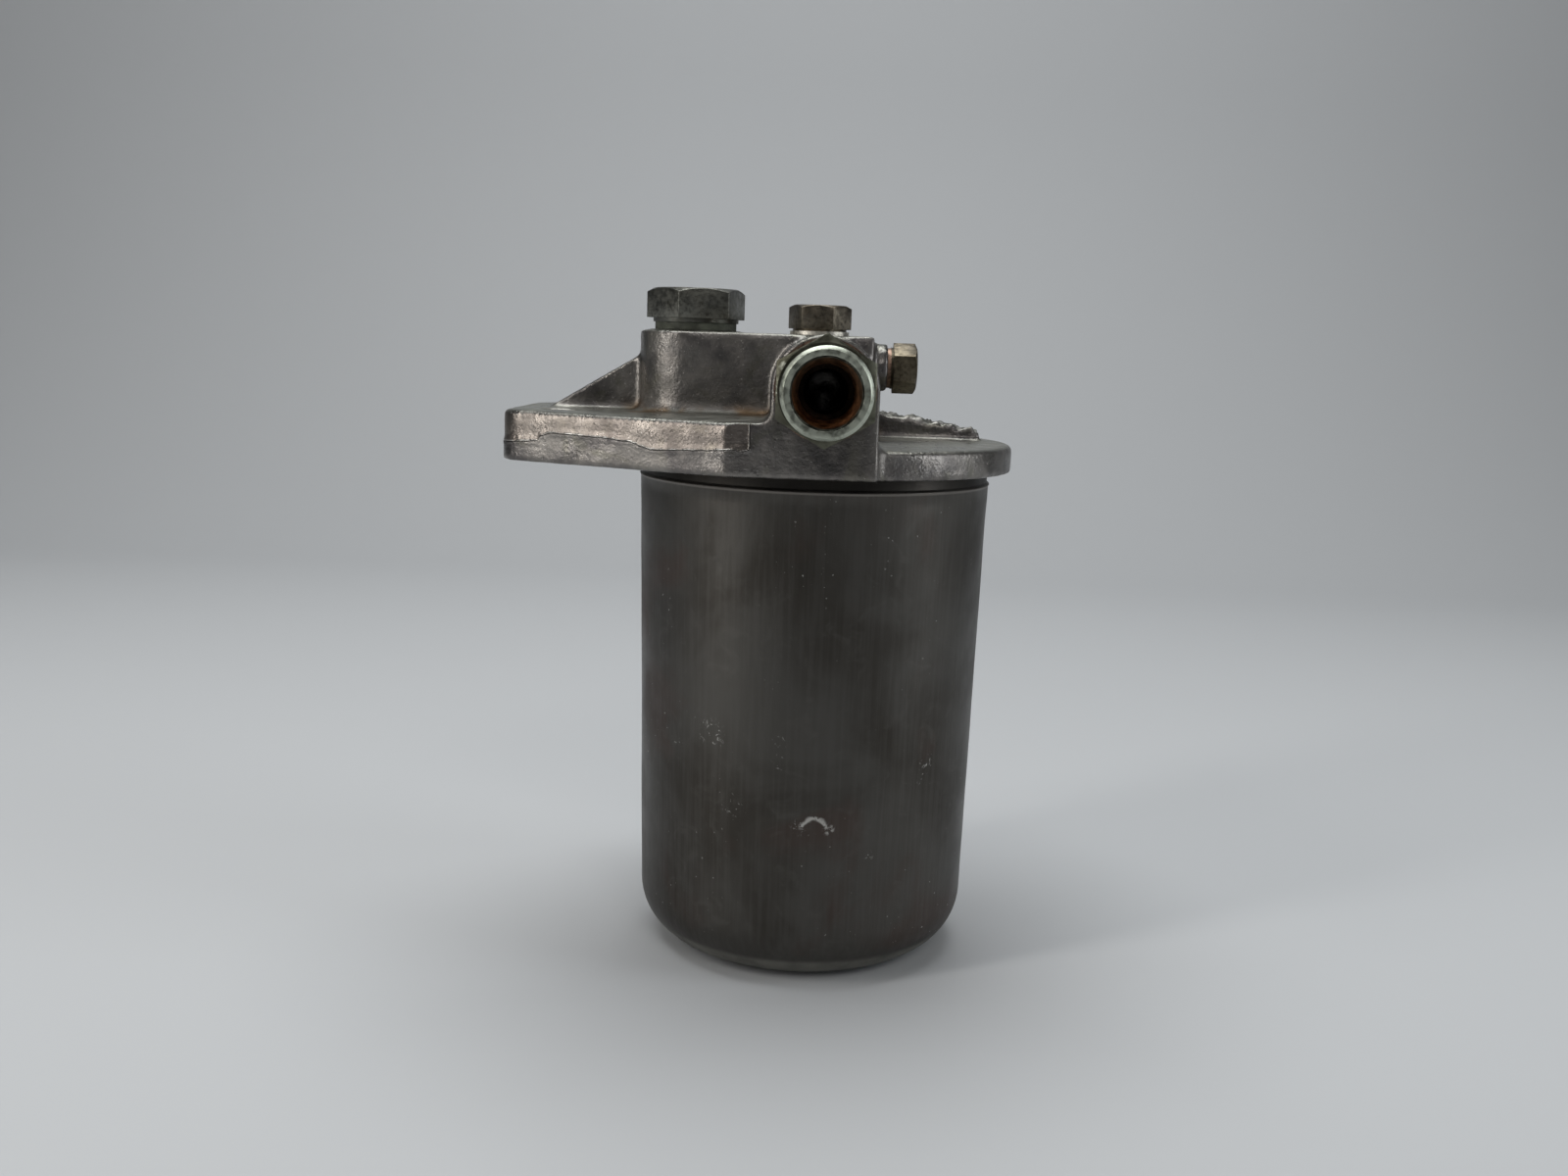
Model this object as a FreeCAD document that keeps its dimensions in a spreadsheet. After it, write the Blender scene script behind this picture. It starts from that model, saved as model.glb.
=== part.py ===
"""Bowl-type fuel filter: a die-cast aluminium head with a bolt-on bracket arm, and a drawn steel bowl
that one long centre bolt pulls up against a gasket in the head. The bowl holds a pleated paper element
on a spring. The head carries a union on each side, a filler plug and a bleed screw.

Millimetres. +Z runs up the bowl's axis, +X points away from the bracket arm, and the inlet union points
along -Y. The origin is the middle of the bowl's flat base.
"""
import FreeCAD, Part
import math
import os
import re
import Sketcher

vector = FreeCAD.Vector

# Every size that can be set by itself. PLACES below works out the levels that follow from them.
SIZES = {
    # drawn steel bowl
    "bowl_height": 126.5,          # base to the underside of the head's flange
    "bowl_radius": 45,             # outside, at the rim
    "bowl_draft": 2.2,             # how much the wall closes in by the level of the base
    "bowl_corner_radius": 15,
    "bowl_wall": 1.2,
    "rim_entry": 1.5,              # how far the rim stands up into the head's groove
    "rim_band": 2.8,               # sized band below the flange
    "rim_step": 0.4,
    # gasket and its groove in the head
    "gasket_thickness": 2,
    "gasket_overlap": 1.2,         # gasket and groove width beyond each side of the bowl's wall
    "gasket_gap": 0.2,             # gasket to the groove's walls
    # head casting: flange and bracket arm
    "flange_lip": 4.2,             # flange outside the gasket's groove
    "flange_thickness": 6.9,
    "flange_edge_radius": 1.2,
    "arm_thickness": 12.5,
    "arm_reach": 77.5,             # bowl axis to the arm's end
    "arm_end_width": 45.4,
    "arm_root_x": 21,              # where the arm's straight sides leave the flange
    "arm_root_inset": 0.05,        # how far the arm's sides start inside the flange's edge
    "arm_corner_radius": 8,
    "arm_edge_radius": 1.8,
    "bracket_hole_radius": 4.5,
    "bracket_hole_inset": 13.5,    # arm's end to the holes' line
    "bracket_hole_spacing": 28,
    # head casting: tower, gusset and side web
    "tower_height": 32.8,          # above the flange's underside
    "tower_half_width": 14,
    "gusset_foot_x": 69,
    "gusset_height": 26.5,
    "gusset_thickness": 6,
    "web_end_inset": 7.4,          # flange's edge to the web's end
    "web_height": 14.2,
    "web_end_height": 9.8,
    "web_thickness": 7,
    "web_y": 9,
    "root_radius": 2.5,            # cast fillets in the inside corners
    # head casting: ports and passages
    "port_x": 1.2,
    "port_height": 20.3,           # above the flange's underside
    "port_boss_radius": 12.4,
    "port_face_step": 0.2,         # how far the boss faces stand out past the flange
    "passage_radius": 5,
    "inlet_drop_y": 27,            # bowl axis to the drilling that takes the inlet down to the bowl
    "inlet_drilling_end": 23,
    "spigot_radius": 17,
    "spigot_depth": 8,
    "clean_bore_radius": 9,
    "clean_bore_top": 27.4,        # above the flange's underside
    # threads, as plain cylinders
    "thread_clearance": 0.05,      # radial, every male thread in its hole
    "bolt_hole_clearance": 0.3,    # radial, centre bolt in the tower's roof
    # washers
    "washer_clearance": 0.3,       # radial, every washer on its thread
    # centre bolt, M8, 14 mm hexagon
    "bolt_radius": 4,
    "bolt_flats": 14,
    "bolt_turned": 24,             # degrees that the tight screw's hexagon stands turned
    "bolt_head_height": 6,
    "bolt_collar_radius": 6.9,
    "bolt_collar_height": 0.6,
    "bolt_thread_engagement": 10.5,
    "bolt_washer_radius": 7.6,
    "bolt_washer_thickness": 1,
    # filler plug, M18 x 1.5, 22 mm hexagon
    "plug_x": 31.8,
    "plug_radius": 9,
    "plug_flats": 22,
    "plug_turned": 44,
    "plug_head_height": 7.5,
    "plug_collar_radius": 10.9,
    "plug_collar_height": 1,
    "plug_shank_length": 12.8,
    "plug_bore_depth": 24,
    "plug_drilling_radius": 6,
    "plug_seat_radius": 11.6,
    "plug_seat_height": 0.4,
    "plug_washer_radius": 10.4,
    "plug_washer_thickness": 1.8,
    # bleed screw, M6, 11 mm hexagon
    "vent_y": 5,
    "vent_height": 25.2,           # above the flange's underside
    "vent_radius": 3,
    "vent_flats": 11,
    "vent_turned": 30,
    "vent_head_height": 6,
    "vent_collar_radius": 5.2,
    "vent_collar_height": 0.6,
    "vent_shank_length": 8.5,
    "vent_boss_radius": 6,
    "vent_boss_face": 17.3,
    "vent_bore_depth": 9,
    "vent_drilling_radius": 1.5,
    "vent_drilling_end": 5.4,
    "vent_washer_radius": 5,
    "vent_washer_thickness": 0.9,
    # unions: M16 stud end, 22 mm hexagon, M20 x 1.5 pipe end with a 24 degree cone for a 12 mm pipe
    "union_stud_radius": 8,
    "union_stud_length": 11,
    "union_stud_bore_depth": 12.5,
    "union_flats": 22,
    "union_hex_height": 7.5,
    "union_neck_radius": 8.9,
    "union_neck_length": 2,
    "union_thread_radius": 10,
    "union_thread_length": 11,
    "union_end_chamfer": 0.8,
    "union_cone_radius": 7.9,
    "union_pipe_radius": 6.05,
    "union_cone_depth": 8.7,
    "union_pipe_depth": 14,
    "union_throat_radius": 5,
    "union_washer_radius": 11.6,
    "union_washer_thickness": 1.5,
    "hexagon_bevel": 0.35,         # how far inside the flats the turned bevel begins
    "thread_tip_share": 0.3,       # part of a screw's radius that its tip is chamfered by
    # anchor nut welded in the bowl
    "nut_radius": 8,
    "nut_foot_radius": 12.5,
    "nut_foot_height": 1.6,
    "nut_height": 13.5,
    "nut_floor": 1,
    # element and its spring
    "element_room": 9.5,           # element to the outside of the bowl's rim
    "element_height": 88,
    "cap_sheet": 0.8,
    "cap_rim": 6,
    "core_radius": 14,
    "core_sheet": 0.7,
    "core_hole_radius": 2.2,
    "core_hole_rows": 8,
    "core_holes_around": 10,
    "pleats": 44,
    "paper": 0.7,
    "pleat_gap": 0.5,              # paper to the caps' rims and to the core
    "fold_tip_share": 0.35,        # half width of a fold's outside corner, in paper thicknesses
    "fold_root_share": 0.85,       # half width of a fold's inside corner
    "top_seal_thickness": 3,
    "top_seal_width": 5.5,
    "bolt_seal_thickness": 4,
    "bolt_seal_width": 5,
    "plate_spring_gap": 0.9,       # spring to the plate's rim
    "plate_sheet": 1,
    "plate_rim": 3,
    "plate_gap": 0.6,              # radial, plate and bottom cap on the bolt
    "spring_radius": 15,           # to the wire's centre line
    "spring_wire_radius": 1.1,
    "spring_turns": 4,
    "spring_end_gap": 0.1,
    # working allowances
    "cut_overrun": 1,              # how far a cutting shape runs out past the metal
    "join_depth": 2,               # how far a boss starts inside what it stands on
}

# Levels and places that follow from the sizes, as formulas. Levels count from the bowl's base.
PLACES = {
    "joint": "bowl_height",
    "groove_inner": "bowl_radius - bowl_wall - gasket_overlap",
    "groove_outer": "bowl_radius + gasket_overlap",
    "groove_depth": "rim_entry + gasket_thickness",
    "bowl_foot_radius": "bowl_radius - bowl_draft",
    "flange_radius": "groove_outer + flange_lip",
    "arm_root_width": "2 * (flange_radius - arm_root_inset)",
    "port_face": "flange_radius + port_face_step",
    "web_reach": "flange_radius - web_end_inset",
    "element_radius": "bowl_radius - element_room",
    "plate_radius": "spring_radius + spring_wire_radius + plate_spring_gap",
    "tower_top": "joint + tower_height",
    "tower_right": "port_x + port_boss_radius",
    "plug_seat": "tower_top + plug_seat_height",
    "port_level": "joint + port_height",
    "vent_level": "joint + vent_height",
    "spigot_face": "joint - spigot_depth",
    "bracket_x": "arm_reach - bracket_hole_inset",
    "bolt_seat": "tower_top + bolt_washer_thickness",
    "bolt_length": "bolt_seat - bowl_wall - nut_height + bolt_thread_engagement",
    "element_top": "spigot_face - top_seal_thickness",
    "element_bottom": "element_top - element_height",
    "plate_top": "element_bottom - bolt_seal_thickness",
    "spring_height": "plate_top - plate_sheet - bowl_wall - 2 * spring_end_gap",
    "paper_outer": "element_radius - cap_sheet - pleat_gap",
    "paper_inner": "core_radius + core_sheet + pleat_gap",
}

document = FreeCAD.newDocument("FuelFilter")
sheet = document.addObject("Spreadsheet::Sheet", "Sizes")
for row, (name, number) in enumerate(SIZES.items(), start=1):
    sheet.set(f"A{row}", name)
    sheet.set(f"B{row}", str(number))
    sheet.setAlias(f"B{row}", name)
document.recompute()


def bound(formula):
    """The formula with each size read from its cell and each place worked out from the sizes."""
    def cell(match):
        word = match.group()
        if word in PLACES:
            return "(" + bound(PLACES[word]) + ")"
        return "Sizes." + word if word in SIZES else word
    return re.sub(r"[a-z_]+", cell, formula)


def value(formula):
    return float(sheet.evalExpression(bound(formula)))


# ---------------------------------------------------------------- drawing and shaping tools

NEAR = 0.01                        # two lengths closer than this are the same one
LEAST_CHANGE = 0.001               # mm3 that a feature has to add or take away
PROBE_RADIUS = 0.2                 # a small ball that shows how much metal surrounds an edge
FILLED_SHARE = 0.6                 # more of it than this is filled at an inside corner

def new_body(name):
    body = document.addObject("PartDesign::Body", name)
    body.Label = name
    return body


def new_sketch(body, plane, level):
    """An empty sketch on one of the body's own origin planes, raised to the level."""
    drawing = body.newObject("Sketcher::SketchObject", body.Name + "_sketch")
    base = next(feature for feature in body.Origin.OriginFeatures if feature.Role == plane)
    drawing.AttachmentSupport = [(base, "")]
    drawing.MapMode = "FlatFace"
    drawing.setExpression("AttachmentOffset.Base.z", bound(level))
    return drawing


def hold(drawing, kind, element, point, formula):
    """Hold one coordinate of a point, or a radius, at what the formula gives."""
    if kind == "Radius":
        constraint = Sketcher.Constraint(kind, element, value(formula))
    else:
        constraint = Sketcher.Constraint(kind, -1, 1, element, point, value(formula))
    index = drawing.addConstraint(constraint)
    drawing.setExpression(f"Constraints[{index}]", bound(formula))


def outline(body, plane, corners, level="0"):
    """A closed outline of straight runs, each corner held by a formula for each direction."""
    drawing = new_sketch(body, plane, level)
    spots = [vector(value(across), value(up), 0) for across, up in corners]
    count = len(spots)
    for index in range(count):
        drawing.addGeometry(Part.LineSegment(spots[index], spots[(index + 1) % count]))
    for index, (across, up) in enumerate(corners):
        drawing.addConstraint(Sketcher.Constraint("Coincident", index, 2, (index + 1) % count, 1))
        hold(drawing, "DistanceX", index, 1, across)
        hold(drawing, "DistanceY", index, 1, up)
    return drawing


def circle(body, plane, across, up, radius, level="0"):
    drawing = new_sketch(body, plane, level)
    drawing.addGeometry(Part.Circle(vector(value(across), value(up), 0), vector(0, 0, 1), value(radius)))
    hold(drawing, "DistanceX", 0, 3, across)
    hold(drawing, "DistanceY", 0, 3, up)
    hold(drawing, "Radius", 0, 0, radius)
    return drawing


def hexagon(body, flats, level, turned):
    """A hexagon across the given flats about the body's own Z axis, turned from flats that face +X and -X."""
    corners = []
    for turn in range(30, 390, 60):
        reach = f"{flats} / 2 / cos(30)"
        corners.append((f"{reach} * cos({turn} + {turned})", f"{reach} * sin({turn} + {turned})"))
    return outline(body, "XY_Plane", corners, level)


def feature(body, kind, drawing, length=None, reverse=False, both=False):
    """A pad, pocket, revolution or groove made from a drawing, checked to change the solid."""
    before = body.Shape.Volume if not body.Shape.isNull() else 0
    made = body.newObject("PartDesign::" + kind, f"{body.Name}_{kind.lower()}")
    made.Profile = (drawing, [""])
    if length is None:
        made.ReferenceAxis = (drawing, ["V_Axis"])
        made.Angle = 360
    else:
        made.Reversed = reverse
        made.SideType = "Symmetric" if both else "One side"
        made.setExpression("Length", bound(length))
    document.recompute()
    if abs(made.Shape.Volume - before) < LEAST_CHANGE:
        raise RuntimeError(f"{made.Name} changes nothing")
    return made


def pad(body, drawing, length, **choices):
    return feature(body, "Pad", drawing, length, **choices)


def pocket(body, drawing, length, **choices):
    return feature(body, "Pocket", drawing, length, **choices)


def turned(body, corners):
    """Add the body that a half section sweeps about the body's Z axis."""
    return feature(body, "Revolution", outline(body, "XZ_Plane", corners))


def turned_away(body, corners):
    """Take away what a half section sweeps about the body's Z axis."""
    return feature(body, "Groove", outline(body, "XZ_Plane", corners))


def rounded(body, radius, chosen, kind="Fillet"):
    """Round, or chamfer, each edge of the body that the choosing function accepts."""
    base = body.Tip
    names = [f"Edge{index}" for index, edge in enumerate(base.Shape.Edges, start=1) if chosen(edge)]
    if not names:
        raise RuntimeError(f"{body.Name} has no such edge to round")
    made = body.newObject("PartDesign::" + kind, f"{body.Name}_{kind.lower()}")
    made.Base = (base, names)
    made.setExpression("Radius" if kind == "Fillet" else "Size", bound(radius))
    document.recompute()
    return made


def ring_at(radius, level):
    """Chooses full circles about Z of this radius at this level."""
    def chosen(edge):
        round_edge = isinstance(edge.Curve, Part.Circle) and abs(edge.Curve.Radius - radius) < NEAR
        return round_edge and abs(edge.CenterOfMass.z - level) < NEAR and abs(edge.CenterOfMass.x) < NEAR
    return chosen


def place(body, x="0", y="0", z="0", turn=None):
    """Put the body's own origin at a place in the filter, turned by a rotation."""
    if turn:
        body.Placement = FreeCAD.Placement(vector(), turn)
    for direction, formula in zip("xyz", (x, y, z)):
        body.setExpression(f"Placement.Base.{direction}", bound(formula))


# ---------------------------------------------------------------- head casting

def head_casting():
    body = new_body("head_casting")

    # Round flange over the bowl.
    pad(body, circle(body, "XY_Plane", "0", "0", "flange_radius", "joint"), "flange_thickness")
    rounded(body, "flange_edge_radius", ring_at(value("flange_radius"), value("joint + flange_thickness")))

    # Thicker bracket arm, with straight sides that close in towards its end.
    arm = [("port_x", "0 - arm_root_width / 2"), ("0 - arm_root_x", "0 - arm_root_width / 2"),
           ("0 - arm_reach", "0 - arm_end_width / 2"), ("0 - arm_reach", "arm_end_width / 2"),
           ("0 - arm_root_x", "arm_root_width / 2"), ("port_x", "arm_root_width / 2")]
    pad(body, outline(body, "XY_Plane", arm, "joint"), "arm_thickness")
    near_end = -value("arm_reach - arm_edge_radius")
    rounded(body, "arm_corner_radius", lambda edge: upright(edge) and edge.CenterOfMass.x < near_end)
    past_root = -value("arm_root_x + arm_edge_radius")
    rounded(body, "arm_edge_radius", lambda edge: level_at(edge, value("joint + arm_thickness"))
            and edge.BoundBox.XMin < past_root)

    # Tower over the bowl's axis and the filler plug, round at the plug's end.
    half = "tower_half_width"
    tower = [("0 - plug_x", "0 - " + half), ("tower_right", "0 - " + half), ("tower_right", half),
             ("0 - plug_x", half)]
    pad(body, outline(body, "XY_Plane", tower, "joint"), "tower_height")
    pad(body, circle(body, "XY_Plane", "0 - plug_x", "0", half, "joint"), "tower_height")
    pad(body, circle(body, "XY_Plane", "0 - plug_x", "0", "plug_seat_radius", "tower_top"),
        "plug_seat_height")

    # Port bosses front and back, each on a column that runs down flush with the flange.
    left, right = "port_x - port_boss_radius", "port_x + port_boss_radius"
    column = [(left, "0 - port_face"), (right, "0 - port_face"), (right, "port_face"), (left, "port_face")]
    pad(body, outline(body, "XY_Plane", column, "joint"), "port_height")
    pad(body, circle(body, "XZ_Plane", "port_x", "port_level", "port_boss_radius"),
        "2 * port_face", both=True)

    # Cast fillets where the tower and the columns stand on the arm and the flange.
    for level in ("joint + arm_thickness", "joint + flange_thickness"):
        rounded(body, "root_radius",
                lambda edge: level_at(edge, value(level)) and inside_corner(body, edge))

    # Gusset from the arm up to the tower, and the low web on the other side.
    gusset = [("0 - gusset_foot_x", "joint + arm_thickness"),
              ("0 - plug_x - tower_half_width", "joint + gusset_height"),
              ("0 - plug_x", "joint + gusset_height"), ("0 - plug_x", "joint"),
              ("0 - gusset_foot_x", "joint")]
    pad(body, outline(body, "XZ_Plane", gusset), "gusset_thickness", both=True)
    inside_tower = "tower_right - join_depth"
    web = [(inside_tower, "joint"), ("web_reach", "joint"), ("web_reach", "joint + web_end_height"),
           ("tower_right", "joint + web_height"), (inside_tower, "joint + web_height")]
    pad(body, outline(body, "XZ_Plane", web, "0 - web_y - web_thickness / 2"), "web_thickness")

    # Boss for the bleed screw, and the spigot that the element seals against.
    pad(body, circle(body, "YZ_Plane", "0 - vent_y", "vent_level", "vent_boss_radius", inside_tower),
        "vent_boss_face - tower_right + join_depth")
    pad(body, circle(body, "XY_Plane", "0", "0", "spigot_radius", "spigot_face"), "spigot_depth")

    # Groove for the gasket and the bowl's rim, and the stepped bore about the centre bolt.
    turned_away(body, [("groove_inner", "joint - cut_overrun"), ("groove_outer", "joint - cut_overrun"),
                       ("groove_outer", "joint + groove_depth"), ("groove_inner", "joint + groove_depth")])
    hole = "bolt_radius + bolt_hole_clearance"
    below, above = "spigot_face - cut_overrun", "tower_top + cut_overrun"
    turned_away(body, [("0", below), ("clean_bore_radius", below),
                       ("clean_bore_radius", "joint + clean_bore_top"), (hole, "joint + clean_bore_top"),
                       (hole, above), ("0", above)])

    # Filler bore: threaded at the top, drilled on down into the bowl.
    thread = "plug_radius + thread_clearance"
    pocket(body, circle(body, "XY_Plane", "0 - plug_x", "0", thread, "plug_seat"), "plug_bore_depth")
    pocket(body, circle(body, "XY_Plane", "0 - plug_x", "0", "plug_drilling_radius", "plug_seat"),
           "plug_seat - joint + cut_overrun")

    # Ports: threaded mouths, the clean side meeting the centre bore, the inlet turning down into the bowl.
    thread = "union_stud_radius + thread_clearance"
    for side, drilling in (("", "port_face - inlet_drilling_end"), ("0 - ", "port_face")):
        back = side != ""
        for radius, depth in ((thread, "union_stud_bore_depth"), ("passage_radius", drilling)):
            mouth = circle(body, "XZ_Plane", "port_x", "port_level", radius, side + "port_face")
            pocket(body, mouth, depth, reverse=back)
    pocket(body, circle(body, "XY_Plane", "port_x", "0 - inlet_drop_y", "passage_radius", "port_level"),
           "port_height + cut_overrun")

    # Bleed screw's bore and seat drilling into the centre bore.
    thread = "vent_radius + thread_clearance"
    seat_drilling = "vent_boss_face - vent_drilling_end"
    for radius, depth in ((thread, "vent_bore_depth"), ("vent_drilling_radius", seat_drilling)):
        pocket(body, circle(body, "YZ_Plane", "0 - vent_y", "vent_level", radius, "vent_boss_face"), depth)

    # Two holes through the arm for the bracket bolts.
    for side in ("0 - ", ""):
        spot = side + "bracket_hole_spacing / 2"
        hole = circle(body, "XY_Plane", "0 - bracket_x", spot, "bracket_hole_radius",
                      "joint + arm_thickness")
        pocket(body, hole, "arm_thickness + cut_overrun")
    return body


def upright(edge):
    reach = edge.BoundBox
    return isinstance(edge.Curve, Part.Line) and max(reach.XLength, reach.YLength) < NEAR


def inside_corner(body, edge):
    """Whether the faces at the edge close in on each other, with metal on three quarters of the way round."""
    middle = edge.valueAt((edge.FirstParameter + edge.LastParameter) / 2)
    probe = Part.makeSphere(PROBE_RADIUS, middle)
    return body.Shape.common(probe).Volume > FILLED_SHARE * probe.Volume


def level_at(edge, level):
    return abs(edge.BoundBox.ZMin - level) < NEAR and abs(edge.BoundBox.ZMax - level) < NEAR


# ---------------------------------------------------------------- bowl and what is fixed in it

def filter_bowl():
    body = new_body("filter_bowl")
    top = "joint + rim_entry"
    turned(body, [("0", "0"), ("bowl_foot_radius", "0"), ("bowl_radius", "joint - rim_band - rim_step"),
                  ("bowl_radius - rim_step", "joint - rim_band"), ("bowl_radius - rim_step", top),
                  ("0", top)])
    inside = "bowl_radius - rim_step - bowl_wall"
    turned_away(body, [("0", "bowl_wall"), ("bowl_foot_radius - bowl_wall", "bowl_wall"),
                       (inside, "joint - rim_band - rim_step"), (inside, top + " + cut_overrun"),
                       ("0", top + " + cut_overrun")])
    rounded(body, "bowl_corner_radius - bowl_wall",
            ring_at(value("bowl_foot_radius - bowl_wall"), value("bowl_wall")))
    rounded(body, "bowl_corner_radius", ring_at(value("bowl_foot_radius"), 0))


def bowl_anchor_nut():
    body = new_body("bowl_anchor_nut")
    hole = "bolt_radius + thread_clearance"
    turned(body, [("0", "0"), ("nut_foot_radius", "0"), ("nut_foot_radius", "nut_foot_height"),
                  ("nut_radius", "nut_foot_height"), ("nut_radius", "nut_height"), (hole, "nut_height"),
                  (hole, "nut_floor"), ("0", "nut_floor")])
    place(body, z="bowl_wall")


def ring(name, inner, outer, thickness, **where):
    """A flat ring: its section turned about Z, its lower face at its own origin."""
    body = new_body(name)
    turned(body, [(inner, "0"), (outer, "0"), (outer, thickness), (inner, thickness)])
    place(body, **where)
    return body


# ---------------------------------------------------------------- screws and unions

def bevelled_hexagon(body, flats, low, height, turned="0", lower_too=False):
    """A hexagon whose corners are turned off at 30 degrees at its outer end, or at both."""
    pad(body, hexagon(body, flats, low, turned), height)
    start = f"{flats} / 2 - hexagon_bevel"
    beyond = f"{flats}"
    drop = f"({beyond} - {start}) * tan(30)"
    high = f"{low} + {height}"
    turned_away(body, [(start, high), (beyond, f"{high} - {drop}"), (beyond, high)])
    if lower_too:
        turned_away(body, [(start, low), (beyond, low), (beyond, f"{low} + {drop}")])


def hexagon_screw(name, size, shank):
    """A headed screw: its seating face is at its own origin, its head above and its shank below."""
    body = new_body(name)
    collar = f"{size}_collar_height"
    in_head = collar + " + join_depth"
    tip = f"{size}_radius * thread_tip_share"
    turned(body, [("0", in_head), (f"{size}_collar_radius", in_head), (f"{size}_collar_radius", "0"),
                  (f"{size}_radius", "0"), (f"{size}_radius", f"{tip} - {shank}"),
                  (f"{size}_radius - {tip}", f"0 - {shank}"), ("0", f"0 - {shank}")])
    bevelled_hexagon(body, f"{size}_flats", collar, f"{size}_head_height", f"{size}_turned")
    return body


def pipe_union(name, side, turn):
    """A union with its hexagon's seating face at its own origin, its pipe end above and its stud below."""
    body = new_body(name)
    neck = "union_hex_height + union_neck_length"
    end = neck + " + union_thread_length"
    inner_end = "0 - union_stud_length"
    turned(body, [("0", inner_end), ("union_stud_radius - union_end_chamfer", inner_end),
                  ("union_stud_radius", "union_end_chamfer - union_stud_length"),
                  ("union_stud_radius", "join_depth"), ("union_neck_radius", "join_depth"),
                  ("union_neck_radius", neck), ("union_thread_radius", neck),
                  ("union_thread_radius", end + " - union_end_chamfer"),
                  ("union_thread_radius - union_end_chamfer", end), ("0", end)])
    bevelled_hexagon(body, "union_flats", "0", "union_hex_height", lower_too=True)
    beyond, pipe_stop = end + " + cut_overrun", end + " - union_pipe_depth"
    turned_away(body, [("0", beyond), ("union_cone_radius", beyond), ("union_cone_radius", end),
                       ("union_pipe_radius", end + " - union_cone_depth"), ("union_pipe_radius", pipe_stop),
                       ("union_throat_radius", pipe_stop),
                       ("union_throat_radius", inner_end + " - cut_overrun"),
                       ("0", inner_end + " - cut_overrun")])
    place(body, "port_x", side + "(port_face + union_washer_thickness)", "port_level", turn)


# ---------------------------------------------------------------- element, seals and spring

def end_cap(name, hole, level, way):
    """A pressed end cap: a disc with its rim turned over the paper, way +1 for a rim that stands up."""
    body = new_body(name)
    sheet_level = f"{way} * cap_sheet"
    turned(body, [(hole, "0"), ("element_radius", "0"), ("element_radius", f"{way} * cap_rim"),
                  ("element_radius - cap_sheet", f"{way} * cap_rim"),
                  ("element_radius - cap_sheet", sheet_level), (hole, sheet_level)])
    place(body, z=level)


def core_tube():
    """The perforated steel tube that the paper stands around."""
    body = new_body("element_core_tube")
    length = "element_height - 2 * cap_sheet"
    turned(body, [("core_radius", "0"), ("core_radius + core_sheet", "0"),
                  ("core_radius + core_sheet", length), ("core_radius", length)])
    rows = int(value("core_hole_rows"))
    row = new_sketch(body, "XZ_Plane", "0")
    for index in range(rows):
        up = f"({length}) * {index + 0.5} / {rows}"
        row.addGeometry(Part.Circle(vector(0, value(up), 0), vector(0, 0, 1), value("core_hole_radius")))
        hold(row, "DistanceX", index, 3, "0")
        hold(row, "DistanceY", index, 3, up)
        hold(row, "Radius", index, 0, "core_hole_radius")
    holes = pocket(body, row, "4 * core_radius", both=True)
    pattern = body.newObject("PartDesign::PolarPattern", "element_core_tube_pattern")
    pattern.Originals = [holes]
    pattern.Axis = (holes.Profile[0], ["V_Axis"])
    pattern.Occurrences = int(value("core_holes_around / 2"))
    pattern.Angle = 180 * (1 - 1 / pattern.Occurrences)
    body.Tip = pattern
    place(body, z="element_bottom + cap_sheet")


def element_paper():
    """One strip of paper folded into pleats all the way round, standing on the bottom cap."""
    outer, inner, thickness = value("paper_outer"), value("paper_inner"), value("paper")
    folds = int(value("pleats"))
    step = math.pi / folds

    def zigzag(tip_radius, root_radius, share):
        """Closed zigzag, each fold flattened to a short run so that the paper keeps its thickness."""
        spots = []
        for fold in range(2 * folds):
            radius = tip_radius if fold % 2 == 0 else root_radius
            flat = share[fold % 2] / radius
            for turn in (fold * step - flat, fold * step + flat):
                spots.append(vector(radius * math.cos(turn), radius * math.sin(turn), 0))
        return Part.makePolygon(spots + spots[:1])

    slim, wide = thickness * value("fold_tip_share"), thickness * value("fold_root_share")
    outside = Part.Face(zigzag(outer, inner + thickness, (wide, slim)))
    inside = Part.Face(zigzag(outer - thickness, inner, (slim, wide)))
    paper = document.addObject("Part::Feature", "element_paper")
    paper.Label = "element_paper"
    paper.Shape = outside.cut(inside).extrude(vector(0, 0, value("element_height - 2 * cap_sheet")))
    paper.Placement.Base.z = value("element_bottom + cap_sheet")
    return paper


def element_spring():
    """Compression spring around the anchor nut, between the bowl's floor and the spring plate."""
    path = document.addObject("Part::Helix", "spring_path")
    lift = "spring_height - 2 * spring_wire_radius"
    path.setExpression("Radius", bound("spring_radius"))
    path.setExpression("Height", bound(lift))
    path.setExpression("Pitch", bound(f"({lift}) / spring_turns"))
    wire = document.addObject("Part::Circle", "spring_wire")
    wire.setExpression("Radius", bound("spring_wire_radius"))
    wire.Placement = FreeCAD.Placement(vector(), FreeCAD.Rotation(vector(1, 0, 0), 90))
    wire.setExpression("Placement.Base.x", bound("spring_radius"))
    spring = document.addObject("Part::Sweep", "element_spring")
    spring.Label = "element_spring"
    spring.Sections = [wire]
    spring.Spine = (path, [])
    spring.Solid = True
    spring.Frenet = True
    place(spring, z="bowl_wall + spring_end_gap + spring_wire_radius")


def spring_plate():
    """Pressed plate on top of the spring, its rim turned down around the coils."""
    body = new_body("spring_plate")
    hole = "bolt_radius + plate_gap"
    outside = "plate_radius + plate_sheet"
    turned(body, [(hole, "0"), (outside, "0"), (outside, "0 - plate_rim"), ("plate_radius", "0 - plate_rim"),
                  ("plate_radius", "0 - plate_sheet"), (hole, "0 - plate_sheet")])
    place(body, z="plate_top")


# ---------------------------------------------------------------- the whole filter

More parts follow.
